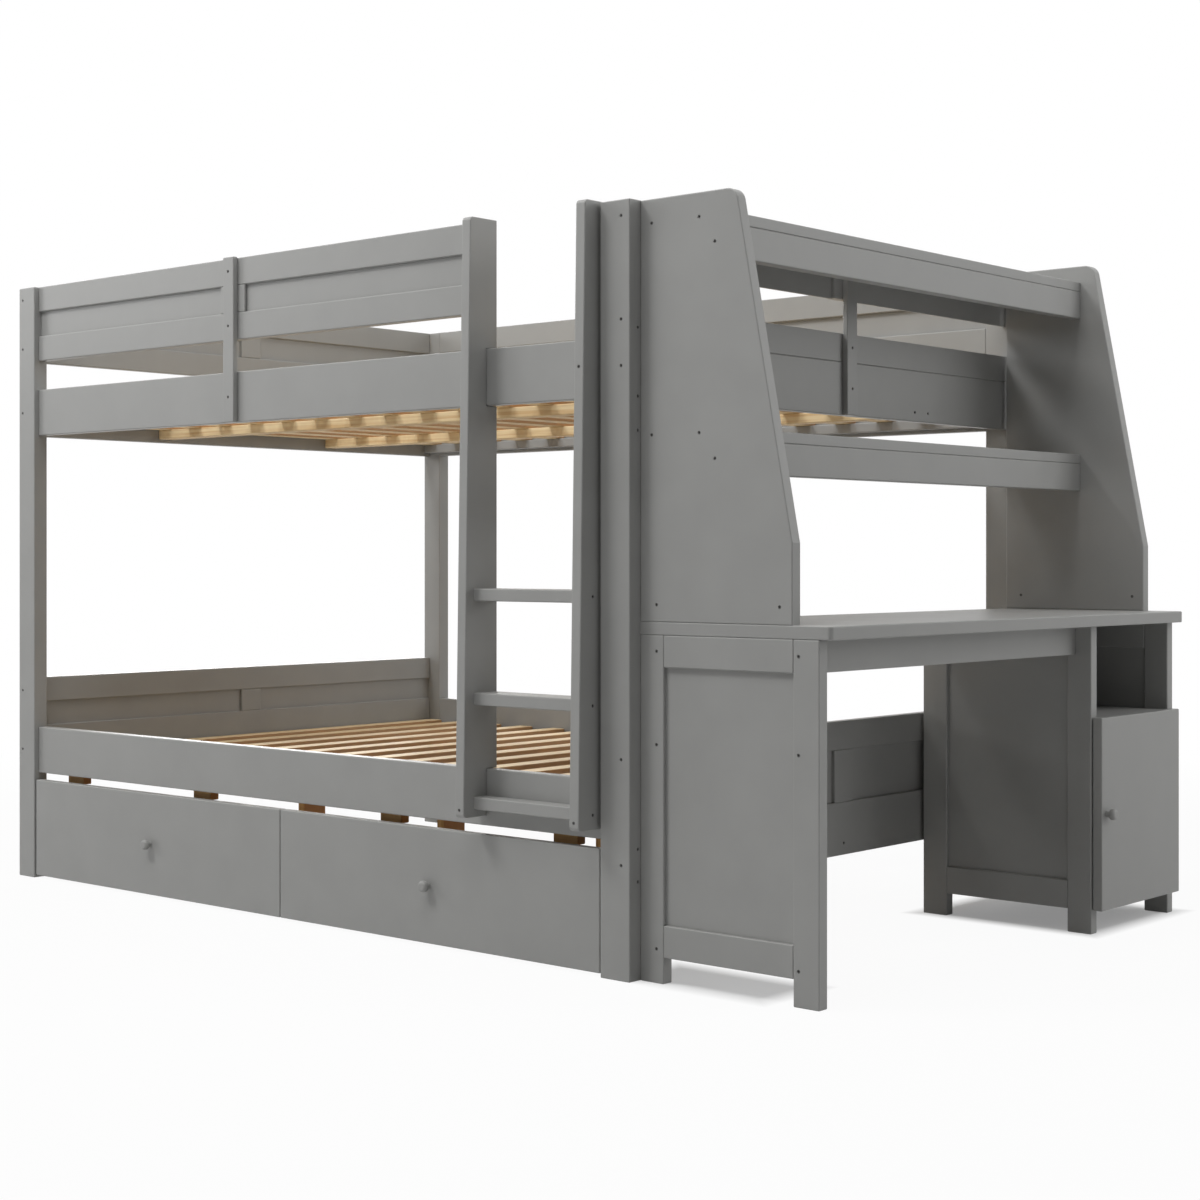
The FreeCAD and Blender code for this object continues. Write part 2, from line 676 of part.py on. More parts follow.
# Two drawers roll on the floor under the lower bunk. Each has a wide front, a box whose bottom sits in
# grooves above the wheels, a knob, and two pairs of wheels on stub axles in the box's sides.
y_box_back = "y_drawer_box + drawer_box_depth - drawer_side_thickness"
for hand, x in (
    ("left", "x_rail + drawer_post_gap"),
    ("right", "x_rail + drawer_post_gap + drawer_width + drawer_split_gap"),
):
    drawer = f"{hand}_drawer"
    x_box = f"{x} + drawer_box_inset"
    x_clear = f"{x_box} + drawer_side_thickness"
    x_far_side = f"{x_clear} + drawer_clear_width"
    node(board(drawer + "_front", (x, "y_drawer", "drawer_floor_gap"),
               ("drawer_width", "drawer_front_thickness", "drawer_front_height")), drawer + "_front")
    groove_height = "drawer_bottom_thickness + 2 * panel_clearance"
    z_groove = "drawer_bottom_base - panel_clearance"
    side_size = ("drawer_side_thickness", "drawer_box_depth", "drawer_box_height")
    sides = []
    wheels = {"front": [], "rear": []}
    axles = []
    for side, x_side, x_groove, x_face, out in (
        ("near", x_box, f"{x_clear} - panel_groove", x_clear, 1),
        ("far", x_far_side, x_far_side, x_far_side, -1),
    ):
        name = f"{drawer}_{side}_side"
        plain = board(name + "_plain", (x_side, "y_drawer_box", "drawer_box_base"), side_size)
        tools = [block(name + "_groove", (x_groove, "y_drawer_box", z_groove),
                       ("panel_groove", "drawer_box_depth", groove_height))]
        for end, y in (
            ("front", "y_drawer_box + wheel_inset"),
            ("rear", "y_drawer_box + drawer_box_depth - wheel_inset"),
        ):
            tag = f"{drawer}_{side}_{end}"
            along = (out, 0, 0)
            z = "wheel_diameter / 2"
            x_outer = f"{x_face} - {out} * drawer_side_thickness"
            tools.append(rod(tag + "_axle_hole", (x_outer, y, z), along,
                             "axle_diameter + 2 * axle_seat_gap", "drawer_side_thickness"))
            wheel_room = "wheel_width + 2 * wheel_side_gap"
            shank = rod(tag + "_axle_shank", (x_outer, y, z), along, "axle_diameter",
                        f"drawer_side_thickness + {wheel_room}")
            head = rod(tag + "_axle_head", (f"{x_face} + {out} * ({wheel_room})", y, z), along,
                       "axle_head_diameter", "axle_head_thickness")
            axles.append(joined(tag + "_axle", [shank, head]))
            disc = rod(tag + "_wheel_disc", (f"{x_face} + {out} * wheel_side_gap", y, z), along,
                       "wheel_diameter", "wheel_width")
            tyre = rounded(tag + "_wheel_tyre", disc, sheet.wheel_round, flat_in("x"))
            bore = rod(tag + "_wheel_bore", (x_face, y, z), along,
                       "axle_diameter + 2 * wheel_running_gap", wheel_room)
            wheels[end].append(cut(tag + "_wheel", tyre, [bore]))
        sides.append(cut(name, plain, tools))
    name = drawer + "_back"
    back = board(name + "_plain", (x_clear, y_box_back, "drawer_box_base"),
                 ("drawer_clear_width", "drawer_side_thickness", "drawer_box_height"))
    back_groove = block(name + "_groove", (x_clear, y_box_back, z_groove),
                        ("drawer_clear_width", "panel_groove", groove_height))
    group(drawer + "_box", sides + [cut(name, back, [back_groove])])
    node(block(drawer + "_bottom",
               (f"{x_clear} - ({PANEL_REACH})", "y_drawer_box + panel_clearance", "drawer_bottom_base"),
               (f"drawer_clear_width + 2 * ({PANEL_REACH})",
                f"drawer_box_depth - drawer_side_thickness + {PANEL_REACH} - panel_clearance",
                "drawer_bottom_thickness")), drawer + "_bottom")
    group(drawer + "_axles", axles)
    for end in ("front", "rear"):
        group(f"{drawer}_{end}_wheels", wheels[end])
    x_knob = f"{x} + drawer_width / 2"
    z_knob = "drawer_floor_gap + drawer_front_height / 2"
    stem = rod(drawer + "_knob_stem", (x_knob, "y_drawer", z_knob), INTO_BACK, "knob_stem_diameter",
               "knob_projection - knob_head_thickness / 2")
    knob_head = rod(drawer + "_knob_head",
                    (x_knob, "y_drawer - knob_projection + knob_head_thickness", z_knob), INTO_BACK,
                    "knob_diameter", "knob_head_thickness")
    soft_head = rounded(drawer + "_knob_soft_head", knob_head, sheet.knob_round, flat_in("y"))
    node(joined(drawer + "_knob", [stem, soft_head]), drawer + "_knob")

# Desk: a top with rounded corners on three like frames of two legs, two rails and a panel.
blank = block("desk_top_blank", ("x_right", "y_desk", "z_desk"),
              ("desk_top_depth", "desk_width", "desk_top_thickness"))


def front_upright(edge):
    """The two upright edges at the front of the desk top."""
    box = edge.BoundBox
    return box.ZLength > 1 and box.XMin > value_of("x_right + desk_top_depth / 2")


cornered = rounded("desk_top_corners", blank, sheet.desk_corner_round, front_upright)
node(rounded("desk_top", cornered, sheet.edge_round, flat_in("z")), "desk_top")

legs = []
side_rails = []
side_panels = []
frame_groove = "desk_panel_recess - panel_clearance"
frame_groove_width = "desk_frame_thickness - 2 * desk_panel_recess + 2 * panel_clearance"
z_side_panel = "desk_rail_base + desk_rail_height"
side_panel_opening = "z_desk_rail - (desk_rail_base + desk_rail_height)"
for frame, y, reach, y_face, direction in (
    ("near", "y_desk", "0", "y_desk", INTO_FRONT),
    ("middle", "y_cabinet", "cabinet_leg_reach", None, None),
    ("far", "y_far_frame", "0", "y_far_frame + desk_frame_thickness", INTO_BACK),
):
    y_groove = f"{y} + {frame_groove}"
    for end, x, width, x_groove, x_screw in (
        ("back", f"x_right - {reach}", f"desk_leg_width + {reach}", "x_desk_rail - panel_groove",
         "x_right + desk_back_screw_inset"),
        ("front", "x_front_leg", "desk_leg_width", "x_front_leg", "x_leg_front - desk_front_screw_inset"),
    ):
        name = f"desk_{frame}_{end}_leg"
        plain = board(name + "_plain", (x, y, "0"), (width, "desk_frame_thickness", "z_desk"))
        slot = block(name + "_groove", (x_groove, y_groove, f"{z_side_panel} - panel_groove"),
                     ("panel_groove", frame_groove_width, f"{side_panel_opening} + 2 * panel_groove"))
        tools = [slot]
        if y_face:
            heights = ("z_desk_rail + desk_rail_height / 2",
                       "cubby_floor - door_gap - cabinet_board_thickness / 2",
                       "desk_rail_base + desk_rail_height / 4")
            tools += screw_row(name + "_screw", [(x_screw, y_face, z) for z in heights], direction)
        legs.append(cut(name, plain, tools))
    for part, z, z_slot in (
        ("top", "z_desk_rail", "z_desk_rail"),
        ("bottom", "desk_rail_base", f"{z_side_panel} - panel_groove"),
    ):
        name = f"desk_{frame}_{part}_rail"
        plain = board(name + "_plain", ("x_desk_rail", y, z),
                      ("desk_rail_length", "desk_frame_thickness", "desk_rail_height"))
        slot = block(name + "_groove", ("x_desk_rail", y_groove, z_slot),
                     ("desk_rail_length", frame_groove_width, "panel_groove"))
        side_rails.append(cut(name, plain, [slot]))
    side_panels.append(block(
        f"desk_{frame}_panel",
        (f"x_desk_rail - ({PANEL_REACH})", f"{y} + desk_panel_recess", f"{z_side_panel} - ({PANEL_REACH})"),
        (f"desk_rail_length + 2 * ({PANEL_REACH})", "desk_frame_thickness - 2 * desk_panel_recess",
         f"{side_panel_opening} + 2 * ({PANEL_REACH})")))
group("desk_legs", legs)
group("desk_side_rails", side_rails)
group("desk_side_panels", side_panels)
node(board("desk_apron", ("x_leg_front - apron_setback - apron_thickness", "y_desk + desk_frame_thickness",
                          "z_desk - apron_height"),
           ("apron_thickness", "desk_width - cabinet_width - desk_frame_thickness", "apron_height")),
     "desk_apron")

# Cabinet between the middle and far frames: a bottom, a cubby floor and a back.
x_boards = "x_right + cabinet_back_thickness"
group("cabinet_boards", [
    board(name, (x_boards, "y_cabinet_inner", z),
          ("desk_frame_depth - cabinet_back_thickness", "cabinet_inner_width", "cabinet_board_thickness"))
    for name, z in (("cabinet_bottom", "desk_rail_base"),
                    ("cubby_board", "cubby_floor - door_gap - cabinet_board_thickness"))
])
node(block("cabinet_back", ("x_right", "y_cabinet_inner", "desk_rail_base"),
           ("cabinet_back_thickness", "cabinet_inner_width", "z_desk - desk_rail_base")), "cabinet_back")

# Cabinet door over the front of the frames, with a knob at its near edge.
node(board("cabinet_door", ("x_door", "y_door", "door_base"),
           ("door_thickness", "door_width", "door_height")), "cabinet_door")
x_door_face = "x_door + door_thickness"
door_knob_at = ("y_door + door_knob_inset", "door_base + door_height / 2")
stem = rod("door_knob_stem", (x_door_face, *door_knob_at), (1, 0, 0), "knob_stem_diameter",
           "knob_projection - knob_head_thickness / 2")
knob_head = rod("door_knob_head", (f"{x_door_face} + knob_projection - knob_head_thickness", *door_knob_at),
                (1, 0, 0), "knob_diameter", "knob_head_thickness")
soft_head = rounded("door_knob_soft_head", knob_head, sheet.knob_round, flat_in("x"))
node(joined("door_knob", [stem, soft_head]), "door_knob")

# Two butt hinges at the door's far edge. The frame leaf has the outer knuckles and the door leaf the
# middle one.
frame_leaves = []
door_leaves = []
pins = []
third = "(hinge_height - 2 * hinge_clearance) / 3"
UP = (0, 0, 1)
for name, z in (
    ("lower_hinge", "door_base + hinge_inset"),
    ("upper_hinge", "door_base + door_height - hinge_inset - hinge_height"),
):
    pins.append(rod(name + "_pin", ("x_pin", "y_pin", z), UP, "hinge_pin_diameter", "hinge_height"))
    z_middle = f"{z} + {third} + hinge_clearance"
    z_high = f"{z} + 2 * ({third} + hinge_clearance)"
    y_leaf = "y_pin - hinge_knuckle_diameter / 2 - hinge_leaf_width"
    frame_pieces = []
    for part, z_part in (("low", z), ("high", z_high)):
        frame_pieces.append(rod(f"{name}_{part}_knuckle", ("x_pin", "y_pin", z_part), UP,
                                "hinge_knuckle_diameter", third))
        frame_pieces.append(block(
            f"{name}_{part}_arm", ("x_leg_front", y_leaf, z_part),
            ("hinge_leaf_thickness", "hinge_leaf_width + hinge_knuckle_diameter / 2", third)))
    frame_pieces.append(block(
        f"{name}_frame_plate", ("x_leg_front", y_leaf, z),
        ("hinge_leaf_thickness", "hinge_leaf_width - hinge_clearance", "hinge_height")))
    frame_leaf = joined(name + "_frame_blank", frame_pieces)
    tight = rod(name + "_frame_bore", ("x_pin", "y_pin", z), UP, "hinge_pin_diameter", "hinge_height")
    frame_leaves.append(cut(name + "_frame_leaf", frame_leaf, [tight]))
    x_leaf = "x_door - hinge_leaf_thickness"
    door_leaf = joined(name + "_door_blank", [
        rod(name + "_middle_knuckle", ("x_pin", "y_pin", z_middle), UP, "hinge_knuckle_diameter", third),
        block(name + "_middle_arm", (x_leaf, y_leaf, z_middle),
              ("hinge_leaf_thickness", "hinge_leaf_width + hinge_knuckle_diameter / 2", third)),
        block(name + "_door_plate", (x_leaf, y_leaf, z),
              ("hinge_leaf_thickness", "hinge_leaf_width - hinge_clearance", "hinge_height")),
    ])
    loose = rod(name + "_door_bore", ("x_pin", "y_pin", z), UP, "hinge_pin_diameter + 2 * hinge_pin_gap",
                "hinge_height")
    door_leaves.append(cut(name + "_door_leaf", door_leaf, [loose]))
group("hinge_frame_leaves", frame_leaves)
group("hinge_door_leaves", door_leaves)
group("hinge_pins", pins)

# Hutch on the desk: two slanted sides with a shelf high up and one lower down, each with an apron under it.
HUTCH_OUTLINE = [
    ("0", "0"),
    ("hutch_base_depth", "0"),
    ("hutch_base_depth", "hutch_straight_height"),
    ("hutch_top_depth", "hutch_height"),
    ("0", "hutch_height"),
]


def top_front(edge):
    """The upright side's top front corner."""
    box = edge.BoundBox
    across = box.YLength > box.XLength + box.ZLength
    return across and box.ZMin > value_of("hutch_height") - 1 and box.XMin > 1


# Its screws go in from the outside, but the far side's foot is screwed down from the inside.
hutch_sides = []
for side, y, y_face, direction in (
    ("near", "y_desk", "y_desk", INTO_FRONT),
    ("far", "y_far_frame", "y_far_frame + desk_frame_thickness", INTO_BACK),
):
    name = f"hutch_{side}_side"
    outline = profile(name + "_body", "XZ_Plane", HUTCH_OUTLINE, "desk_frame_thickness")
    soft = rounded(name + "_round", outline, sheet.hutch_corner_round, top_front)
    eased = rounded(name + "_eased", soft, sheet.edge_round, flat_in("y"))
    place(eased, ("x_right", f"{y} + desk_frame_thickness", "desk_height"))
    points = []
    for rise in ("upper_shelf_rise", "lower_shelf_rise"):
        z_shelf = f"desk_height + {rise} - shelf_screw_drop"
        points += [
            ("x_right + shelf_back_screw_inset", y_face, z_shelf),
            ("x_right + shelf_front_screw_inset", y_face, z_shelf),
            ("x_right + shelf_apron_screw_inset", y_face, f"desk_height + {rise} - shelf_apron_screw_drop"),
        ]
    holes = screw_row(name + "_screw", points, direction)
    holes += screw_row(name + "_foot_screw", [
        (x, y, "desk_height + hutch_foot_screw_rise")
        for x in ("x_right + desk_back_screw_inset", "x_right + hutch_base_depth - shelf_back_screw_inset")
    ], INTO_FRONT)
    hutch_sides.append(cut(name, eased, holes))
group("hutch_sides", hutch_sides)

shelf_boards = []
shelf_aprons = []
for name, rise in (("upper_shelf", "upper_shelf_rise"), ("lower_shelf", "lower_shelf_rise")):
    z = f"desk_height + {rise} - shelf_thickness"
    shelf_boards.append(board(name, ("x_right", "y_desk + desk_frame_thickness", z),
                              ("shelf_depth", "desk_inner_width", "shelf_thickness")))
    shelf_aprons.append(board(name + "_apron", ("x_shelf_apron", "y_desk + desk_frame_thickness",
                                                f"{z} - shelf_apron_height"),
                              ("shelf_apron_thickness", "desk_inner_width", "shelf_apron_height")))
group("hutch_shelves", shelf_boards)
group("hutch_shelf_aprons", shelf_aprons)
group("frame_screws", screws)

doc.recompute()
failed = [obj.Name for obj in doc.Objects if {"Invalid", "Error"} & set(obj.State)]
for obj in nodes:
    if obj.Shape.isNull() or not obj.Shape.isValid() or not obj.Shape.Solids:
        failed.append(obj.Label)
if failed:
    raise RuntimeError("failed: " + ", ".join(failed))
os.makedirs("parts", exist_ok=True)
for obj in nodes:
    obj.Shape.exportStep(f"parts/{obj.Label}.step")
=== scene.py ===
import bpy
import math
import numpy as np
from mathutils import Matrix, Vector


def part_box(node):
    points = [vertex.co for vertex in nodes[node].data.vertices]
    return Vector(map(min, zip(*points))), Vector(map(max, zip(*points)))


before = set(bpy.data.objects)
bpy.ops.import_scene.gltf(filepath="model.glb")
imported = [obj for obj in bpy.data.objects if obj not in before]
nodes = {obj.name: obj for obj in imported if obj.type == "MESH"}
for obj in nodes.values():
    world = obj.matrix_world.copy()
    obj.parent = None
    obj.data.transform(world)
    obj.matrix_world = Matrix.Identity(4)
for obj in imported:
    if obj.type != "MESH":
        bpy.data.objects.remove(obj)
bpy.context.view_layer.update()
scene = bpy.context.scene


# Posts, rails, guards and panels of the bed frame: planed softwood boards, screwed together at the posts
# and sprayed grey. The coat is smooth and close to matt, with only a trace of spray texture.
def linear(code):
    """An sRGB hex colour as linear RGBA: v/12.92 in the toe, ((v + 0.055)/1.055)^2.4 above it."""
    v = np.array([int(code[i:i + 2], 16) for i in (1, 3, 5)]) / 255
    low = v / 12.92
    high = ((v + 0.055) / 1.055) ** 2.4
    return (*np.where(v <= 0.04045, low, high), 1.0)


def add(owner, kind, settings=None, links=None):
    """Add a node to a material or world, with its settings, and link its inputs to other outputs."""
    tree = owner.node_tree
    node = tree.nodes.new(kind)
    for key, value in (settings or {}).items():
        if isinstance(key, int) or key in node.inputs:
            node.inputs[key].default_value = value
        else:
            setattr(node, key, value)
    for key, source in (links or {}).items():
        tree.links.new(source, node.inputs[key])
    return node


def new_material(name):
    """A material with no nodes yet."""
    material = bpy.data.materials.new(name)
    material.use_nodes = True
    material.node_tree.nodes.clear()
    return material


def finish_with(material, names):
    """Give CAD nodes a finish in place of the plain one that they came with."""
    for name in names:
        piece = nodes[name]
        for place in piece.material_slots:
            place.material = material


# Satin acrylic paint: an even warm grey with a soft sheen. Passes of the spray gun leave broad, very faint
# changes of tone and gloss, and the dried film has a fine orange peel.
paint = new_material("satin grey paint")
paint_place = add(paint, "ShaderNodeTexCoord").outputs["Object"]
pass_mm = 110
passes = add(paint, "ShaderNodeTexNoise", {"Scale": 1000 / pass_mm, "Detail": 2.0}, {"Vector": paint_place})
thin_coat = 0.3
thick_coat = 0.7
tone = add(paint, "ShaderNodeValToRGB", links={"Fac": passes.outputs["Fac"]})
tone.color_ramp.elements[0].position = thin_coat
tone.color_ramp.elements[0].color = linear("#9E9E9C")
tone.color_ramp.elements[1].position = thick_coat
tone.color_ramp.elements[1].color = linear("#A2A2A0")
gloss = add(paint, "ShaderNodeMapRange",
            {"From Min": thin_coat, "From Max": thick_coat, "To Min": 0.39, "To Max": 0.45},
            {"Value": passes.outputs["Fac"]})
peel_mm = 4
peel = add(paint, "ShaderNodeTexNoise", {"Scale": 1000 / peel_mm, "Detail": 1.0}, {"Vector": paint_place})
skin = add(paint, "ShaderNodeBump", {"Strength": 0.05, "Distance": 0.0002}, {"Height": peel.outputs["Fac"]})
coat = add(paint, "ShaderNodeBsdfPrincipled", {"IOR": 1.4},
           {"Base Color": tone.outputs["Color"], "Roughness": gloss.outputs[0],
            "Normal": skin.outputs["Normal"]})
add(paint, "ShaderNodeOutputMaterial", links={"Surface": coat.outputs["BSDF"]})
finish_with(paint, [
    "front_left_post", "front_right_post", "back_left_post", "back_right_post",
    "front_upper_rail", "front_lower_rail", "back_upper_rail", "back_lower_rail",
    "front_guard_top_rail", "front_guard_lower_rail", "front_guard_panel",
    "back_guard_top_rail", "back_guard_lower_rail", "back_guard_panel", "guard_balusters",
    "left_end_rails", "left_guard_rails", "right_end_rails", "right_guard_rails",
    "end_top_rails", "end_stiles", "end_panels", "slat_ledgers"])


# Slats, beams, plank legs and blocks: planed pine left bare. Each board has its own tone, with growth rings
# drawn out along it and a few knots, and painted shade darkens the faces turned along x. The short legs and
# blocks are of a browner wood, darkened further with painted shade for the shade they stand in under the bed.
def stretched(along, fine, coarse):
    """Scales per metre of a pattern that is fine across a board and drawn out along its grain."""
    return tuple(coarse if axis == along else fine for axis in "xyz")


def bare_pine(name, along, across, board_mm, late, early):
    """Planed pine: pale early wood with darker late-wood lines 7 mm apart, a tone of its own for each board
    width across, small brown knots drawn out along the grain, and brown painted shade on the faces that
    face along x, such as the sides of the slats."""
    material = new_material(name)
    coordinates = add(material, "ShaderNodeTexCoord")
    place = coordinates.outputs["Object"]
    ring_mm = 7
    run_mm = 380
    ring_space = add(material, "ShaderNodeMapping",
                     {"Scale": stretched(along, 1000 / ring_mm, 1000 / run_mm)}, {"Vector": place})
    rings = add(material, "ShaderNodeTexNoise",
                {"Scale": 1.0, "Detail": 3.0, "Roughness": 0.6, "Distortion": 0.4},
                {"Vector": ring_space.outputs[0]})
    wood = add(material, "ShaderNodeValToRGB", links={"Fac": rings.outputs["Fac"]})
    wood.color_ramp.elements[0].position = 0.35
    wood.color_ramp.elements[0].color = linear(late)
    wood.color_ramp.elements[1].position = 0.6
    wood.color_ramp.elements[1].color = linear(early)
    split = add(material, "ShaderNodeSeparateXYZ", links={"Vector": place})
    boards = add(material, "ShaderNodeMath", {"operation": "DIVIDE", 1: board_mm / 1000},
                 {0: split.outputs[across.upper()]})
    board = add(material, "ShaderNodeMath", {"operation": "FLOOR"}, {0: boards.outputs[0]})
    chance = add(material, "ShaderNodeTexWhiteNoise", {"noise_dimensions": "1D"}, {"W": board.outputs[0]})
    lift = add(material, "ShaderNodeMapRange", {"To Min": 0.92, "To Max": 1.05},
               {"Value": chance.outputs["Value"]})
    # Painted shade: faces turned along x are mixed up to 0.8 of the way towards brown #AC7848, so the sides
    # of the slats read as shaded.
    facing = add(material, "ShaderNodeSeparateXYZ", links={"Vector": coordinates.outputs["Normal"]})
    sideways = add(material, "ShaderNodeMath", {"operation": "ABSOLUTE"}, {0: facing.outputs["X"]})
    painted_side_shade = add(material, "ShaderNodeMapRange", {"From Min": 0.5, "From Max": 0.9, "To Max": 0.8},
               {"Value": sideways.outputs[0]})
    side_shaded_wood = add(material, "ShaderNodeMix", {"data_type": "RGBA", 7: linear("#AC7848")},
               {0: painted_side_shade.outputs[0], 6: wood.outputs["Color"]})
    toned = add(material, "ShaderNodeHueSaturation",
                links={"Color": side_shaded_wood.outputs[2], "Value": lift.outputs[0]})
    knot_space_mm = 60
    knot_run_mm = 210
    knot_core_mm = 2.4
    knot_edge_mm = 6
    knot_space = add(material, "ShaderNodeMapping",
                     {"Scale": stretched(along, 1000 / knot_space_mm, 1000 / knot_run_mm)}, {"Vector": place})
    knots = add(material, "ShaderNodeTexVoronoi", {"Scale": 1.0}, {"Vector": knot_space.outputs[0]})
    knot = add(material, "ShaderNodeMapRange",
               {"From Min": knot_core_mm / knot_space_mm, "From Max": knot_edge_mm / knot_space_mm,
                "To Min": 0.35, "To Max": 0.0}, {"Value": knots.outputs["Distance"]})
    knotted = add(material, "ShaderNodeMix", {"data_type": "RGBA", 7: linear("#9A6C40")},
                  {0: knot.outputs[0], 6: toned.outputs["Color"]})
    pine = add(material, "ShaderNodeBsdfPrincipled", {"Roughness": 0.6, "IOR": 1.45},
               {"Base Color": knotted.outputs[2]})
    add(material, "ShaderNodeOutputMaterial", links={"Surface": pine.outputs["BSDF"]})
    return material


slat_pitch_mm = 125.4
slat_pine = bare_pine("pine slats", along="y", across="x", board_mm=slat_pitch_mm,
                      late="#E2C28F", early="#F6E1B9")
beam_pine = bare_pine("pine beams", along="x", across="y", board_mm=90,
                      late="#DCBA87", early="#F0D9AE")
# The legs and blocks get darker colours than the other pine. This is partly a browner wood, and partly
# painted shade for the shade they stand in under the bed.
browner_shaded_block_pine = bare_pine("browner pine blocks with painted shade", along="x", across="y", board_mm=90,
                       late="#A8804E", early="#C09964")
browner_shaded_leg_pine = bare_pine("browner pine legs with painted shade", along="z", across="x", board_mm=60,
                     late="#A8804E", early="#C09964")
finish_with(slat_pine, ["upper_slats", "lower_slats"])
finish_with(beam_pine, ["slat_beams"])
finish_with(browner_shaded_block_pine, ["ledger_blocks"])
finish_with(browner_shaded_leg_pine, ["beam_legs"])

# Ladder: two tapered stiles, notched to hook over the front rails, with three steps let into them.
# It has the same grey paint as the frame.
finish_with(paint, ["ladder_stiles", "ladder_steps"])


# Drawers: painted fronts and boxes with a plywood bottom. Each rolls on moulded wheels that turn on steel
# pins. Zinc plate gives the pins a soft bright sheen, and the nylon of the wheels is a dull black.
def grained(name, code, roughness, metallic, grain_mm):
    """A material of one colour with a fine grain: a noise of the grain's size sets the gloss, 0.06 up and
    down, and a slight relief."""
    material = new_material(name)
    place = add(material, "ShaderNodeTexCoord").outputs["Object"]
    grain = add(material, "ShaderNodeTexNoise", {"Scale": 1000 / grain_mm, "Detail": 2.0}, {"Vector": place})
    gloss_change = 0.06
    sheen = add(material, "ShaderNodeMapRange",
                {"To Min": roughness - gloss_change, "To Max": roughness + gloss_change},
                {"Value": grain.outputs["Fac"]})
    relief = add(material, "ShaderNodeBump", {"Strength": 0.1, "Distance": 0.0001},
                 {"Height": grain.outputs["Fac"]})
    shader = add(material, "ShaderNodeBsdfPrincipled", {"Base Color": linear(code), "Metallic": metallic},
                 {"Roughness": sheen.outputs[0], "Normal": relief.outputs["Normal"]})
    add(material, "ShaderNodeOutputMaterial", links={"Surface": shader.outputs["BSDF"]})
    return material


finish_with(paint, ["left_drawer_front", "left_drawer_box", "left_drawer_knob",
                                  "right_drawer_front", "right_drawer_box", "right_drawer_knob"])
sheet_wood = bare_pine("pine plywood", along="x", across="y", board_mm=600, late="#DCBA87", early="#F0D9AE")
finish_with(sheet_wood, ["left_drawer_bottom", "right_drawer_bottom"])
pin_steel = grained("zinc-plated steel", "#B4B5B6", roughness=0.35, metallic=1.0, grain_mm=1.5)
finish_with(pin_steel, ["left_drawer_axles", "right_drawer_axles"])
wheel_nylon = grained("black moulded nylon", "#1C1C1D", roughness=0.5, metallic=0.0, grain_mm=0.8)
finish_with(wheel_nylon, ["left_drawer_front_wheels", "left_drawer_rear_wheels",
                                           "right_drawer_front_wheels", "right_drawer_rear_wheels"])

# Desk, hutch and cabinet: boards and framed panels screwed together, a thin back, and a door with a knob.
# All have the same grey paint as the frame.
finish_with(paint, [
    "desk_top", "desk_apron", "desk_legs", "desk_side_rails", "desk_side_panels", "hutch_sides",
    "hutch_shelves", "hutch_shelf_aprons", "cabinet_boards", "cabinet_back", "cabinet_door", "door_knob"])

# Fasteners: socket screws sunk in the boards, with a dull dark grey coat, and butt hinges of bright rolled
# steel on the door.
screw_steel = grained("dark grey coated steel", "#666664", roughness=0.5, metallic=0.0, grain_mm=1.0)
finish_with(screw_steel, ["frame_screws"])
leaf_steel = grained("bright rolled steel", "#C2C3C4", roughness=0.3, metallic=1.0, grain_mm=1.5)
finish_with(leaf_steel, ["hinge_frame_leaves", "hinge_door_leaves", "hinge_pins"])

# Studio floor: a wide pale sweep. To the camera and to gloss it is mostly white, with a pale shadow that
# shows most under the cabinet and behind the foot of the desk's near frame, where its own white fades out.
floor_size = 40.0
floor_mesh = bpy.data.meshes.new("studio floor")
edge = floor_size / 2
floor_mesh.from_pydata([(-edge, -edge, 0), (edge, -edge, 0), (edge, edge, 0), (-edge, edge, 0)],
                       [], [(0, 1, 2, 3)])
floor = bpy.data.objects.new("studio floor", floor_mesh)
scene.collection.objects.link(floor)
white = new_material("white paper sweep")
matt = add(white, "ShaderNodeBsdfDiffuse", {"Color": linear("#D6D6D6")})
bright = add(white, "ShaderNodeEmission", {"Strength": 1.0})
floor_paths = add(white, "ShaderNodeLightPath")
floor_seen = add(white, "ShaderNodeMath", {"operation": "MAXIMUM"},
                 {0: floor_paths.outputs["Is Camera Ray"], 1: floor_paths.outputs["Is Glossy Ray"]})
floor_place = add(white, "ShaderNodeTexCoord").outputs["Object"]


def outside(middle, half_size, least):
    """1 on the floor outside a box, and a least value inside it, with a soft edge."""
    offset = add(white, "ShaderNodeVectorMath", {"operation": "SUBTRACT", 1: middle}, {0: floor_place})
    beside = add(white, "ShaderNodeVectorMath", {"operation": "ABSOLUTE"}, {0: offset.outputs[0]})
    past = add(white, "ShaderNodeVectorMath", {"operation": "SUBTRACT", 1: half_size}, {0: beside.outputs[0]})
    sides = add(white, "ShaderNodeSeparateXYZ", links={"Vector": past.outputs[0]})
    gap = add(white, "ShaderNodeMath", {"operation": "MAXIMUM"},
              {0: sides.outputs["X"], 1: sides.outputs["Y"]})
    soft_edge = 0.03
    ramp = add(white, "ShaderNodeMapRange",
               {"From Min": -soft_edge, "From Max": soft_edge, "To Min": least}, {"Value": gap.outputs[0]})
    return ramp.outputs[0]


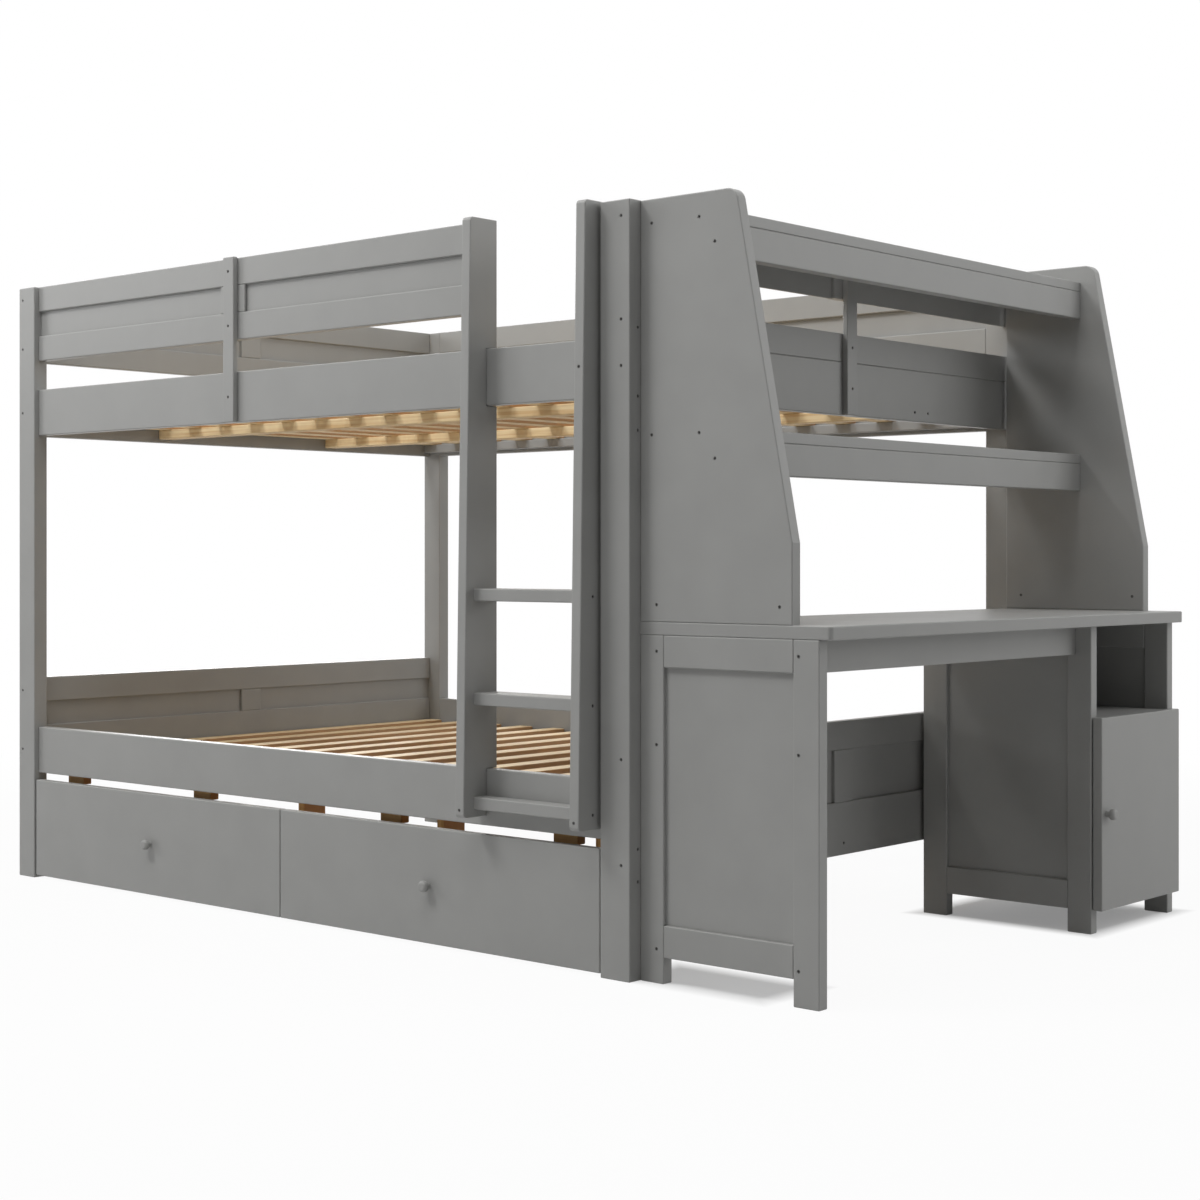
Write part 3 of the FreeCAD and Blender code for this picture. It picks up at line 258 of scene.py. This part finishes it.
near_white = 0.95
near_edge = 2.4
far_edge = 4.2
reach = add(white, "ShaderNodeVectorMath", {"operation": "LENGTH"}, {0: floor_place})
far = add(white, "ShaderNodeMapRange", {"From Min": near_edge, "From Max": far_edge, "To Min": near_white},
          {"Value": reach.outputs["Value"]})
legs_low, legs_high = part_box("desk_legs")
cabinet_middle = (legs_high[0] - 0.212, legs_high[1] - 0.186, 0.0)
foot_middle = (legs_low[0] + 0.128, legs_low[1] + 0.082, 0.0)
under_cabinet = outside(cabinet_middle, half_size=(0.22, 0.21, 0.0), least=0.25)
behind_foot = outside(foot_middle, half_size=(0.17, 0.09, 0.0), least=0.35)
shades = add(white, "ShaderNodeMath", {"operation": "MINIMUM"}, {0: under_cabinet, 1: behind_foot})
whites = add(white, "ShaderNodeMath", {"operation": "MULTIPLY"}, {0: shades.outputs[0], 1: far.outputs[0]})
share = add(white, "ShaderNodeMath", {"operation": "MULTIPLY"},
            {0: whites.outputs[0], 1: floor_seen.outputs[0]})
sweep = add(white, "ShaderNodeMixShader",
            links={0: share.outputs[0], 1: matt.outputs[0], 2: bright.outputs[0]})
add(white, "ShaderNodeOutputMaterial", links={"Surface": sweep.outputs[0]})
floor_mesh.materials.append(white)

# Studio light: a white room that reads as plain white behind the object, and large soft boxes around it.
# The strongest stand at the left, high over the front, and at the left back, which reaches the lower slats.
world = bpy.data.worlds.new("white room")
scene.world = world
world.use_nodes = True
world.node_tree.nodes.clear()
room = add(world, "ShaderNodeBackground", {"Color": linear("#FFFFFF"), "Strength": 0.03})
backdrop = add(world, "ShaderNodeBackground", {"Color": linear("#FFFFFF"), "Strength": 1.0})
room_paths = add(world, "ShaderNodeLightPath")
room_seen = add(world, "ShaderNodeMath", {"operation": "MAXIMUM"},
                {0: room_paths.outputs["Is Camera Ray"], 1: room_paths.outputs["Is Glossy Ray"]})
either = add(world, "ShaderNodeMixShader",
             links={0: room_seen.outputs[0], 1: room.outputs[0], 2: backdrop.outputs[0]})
add(world, "ShaderNodeOutputWorld", links={"Surface": either.outputs[0]})


def soft_box(name, place, target, size, watts):
    """A square soft box at a place, turned to face a target."""
    data = bpy.data.lights.new(name, "AREA")
    data.shape = "SQUARE"
    data.size = size
    data.energy = watts
    lamp = bpy.data.objects.new(name, data)
    scene.collection.objects.link(lamp)
    away = np.array(place) - np.array(target)
    tilt = math.acos(away[2] / np.linalg.norm(away))
    turn = math.atan2(away[1], away[0]) + math.pi / 2
    lamp.location = place
    lamp.rotation_euler = (tilt, 0, turn)


bed_middle = (0.0, 0.0, 0.7)
soft_box("left soft box", (-7.5, -4.4, 3.6), bed_middle, size=2.6, watts=134)
soft_box("high soft box", (-1.9, -3.4, 5.2), bed_middle, size=1.6, watts=140)
soft_box("high front soft box", (0.8, -2.6, 5.4), bed_middle, size=2.2, watts=84)
soft_box("top soft box", (0.2, 0.3, 5.0), bed_middle, size=2.6, watts=40)
soft_box("right soft box", (3.4, 0.3, 4.2), bed_middle, size=2.6, watts=34)
soft_box("right back soft box", (4.8, 3.0, 2.6), bed_middle, size=2.6, watts=66)
soft_box("left back soft box", (-5.4, 3.4, 2.8), bed_middle, size=2.6, watts=160)

# Camera: level, at the photograph's place and angle, with the lens shifted down a little.
# Its place, heading and lens were fitted to the bed's straight edges.
camera_data = bpy.data.cameras.new("camera")
camera_data.sensor_fit = "HORIZONTAL"
camera_data.sensor_width = 36.0
camera_data.lens = 62.39
camera_data.shift_y = -0.0358
camera = bpy.data.objects.new("camera", camera_data)
camera.location = (3.3416, -3.7053, 0.8074)
camera.rotation_euler = (math.radians(90), 0, math.radians(41.215))
scene.collection.objects.link(camera)
scene.camera = camera

scene.view_settings.view_transform = "Standard"
